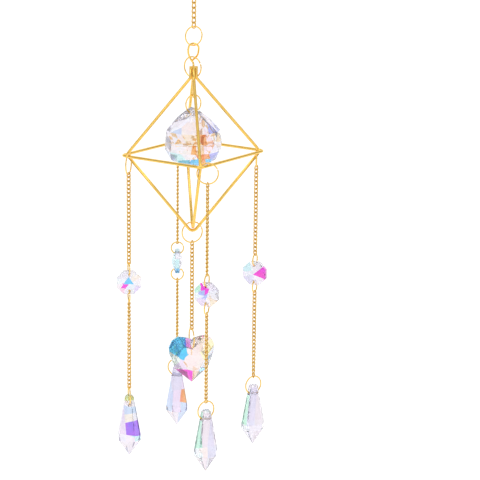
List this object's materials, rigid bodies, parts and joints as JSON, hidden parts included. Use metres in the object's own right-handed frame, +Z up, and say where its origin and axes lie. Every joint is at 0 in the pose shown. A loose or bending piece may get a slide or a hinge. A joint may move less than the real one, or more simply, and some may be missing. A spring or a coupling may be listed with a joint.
{
  "type": "crystal suncatcher",
  "caption": "Hanging suncatcher: a square gold wire cage round a faceted crystal ball, with crystal beads and drops on fine chains and a crystal heart below.",
  "frame": {"origin": "inside of the S-hook's crown, at the middle of its wire, where the hook sits on its support", "axes": "+Z up against gravity; the cage's four belt corners lie on +X, -X, +Y and -Y, and the front corner is at -Y; the S-hook bends in the XZ plane"},
  "size_m": [0.0916, 0.0895, 0.3834],
  "materials": {
    "gold_wire": "polished gold colour plating",
    "hook_steel": "plain bright wire",
    "crystal_clear": "polished facets with a thin rainbow coating",
    "crystal_ball": "polished facets with a thin rainbow coating",
    "crystal_heart": "polished facets with a thin rainbow coating"
  },
  "bodies": {
    "root": {"s_hook": "hook_steel", "hook_ring": "gold_wire", "top_chain": "gold_wire", "upper_ring": "gold_wire", "eye_wire": "gold_wire", "apex_ring": "gold_wire", "ball_ring": "gold_wire", "upper_wire_front": "gold_wire", "upper_wire_right": "gold_wire", "upper_wire_back": "gold_wire", "upper_wire_left": "gold_wire", "lower_wire_front": "gold_wire", "lower_wire_right": "gold_wire", "lower_wire_back": "gold_wire", "lower_wire_left": "gold_wire", "belt_rod_front_right": "gold_wire", "belt_rod_right_back": "gold_wire", "belt_rod_back_left": "gold_wire", "belt_rod_left_front": "gold_wire", "corner_ring_front": "gold_wire", "upper_chain_front": "gold_wire", "bead_top_ring_front": "gold_wire", "bead_bottom_ring_front": "gold_wire", "lower_chain_front": "gold_wire", "drop_ring_front": "gold_wire", "corner_ring_right": "gold_wire", "upper_chain_right": "gold_wire", "bead_top_ring_right": "gold_wire", "bead_bottom_ring_right": "gold_wire", "lower_chain_right": "gold_wire", "drop_ring_right": "gold_wire", "corner_ring_back": "gold_wire", "upper_chain_back": "gold_wire", "bead_top_ring_back": "gold_wire", "bead_bottom_ring_back": "gold_wire", "lower_chain_back": "gold_wire", "drop_ring_back": "gold_wire", "corner_ring_left": "gold_wire", "upper_chain_left": "gold_wire", "bead_top_ring_left": "gold_wire", "bead_bottom_ring_left": "gold_wire", "lower_chain_left": "gold_wire", "drop_ring_left": "gold_wire", "bottom_ring": "gold_wire", "centre_chain": "gold_wire", "heart_ring": "gold_wire", "ball": "crystal_ball", "heart": "crystal_heart", "bead_front": "crystal_clear", "drop_front": "crystal_clear", "bead_right": "crystal_clear", "drop_right": "crystal_clear", "bead_back": "crystal_clear", "drop_back": "crystal_clear", "bead_left": "crystal_clear", "drop_left": "crystal_clear"}
  },
  "joints": []
}
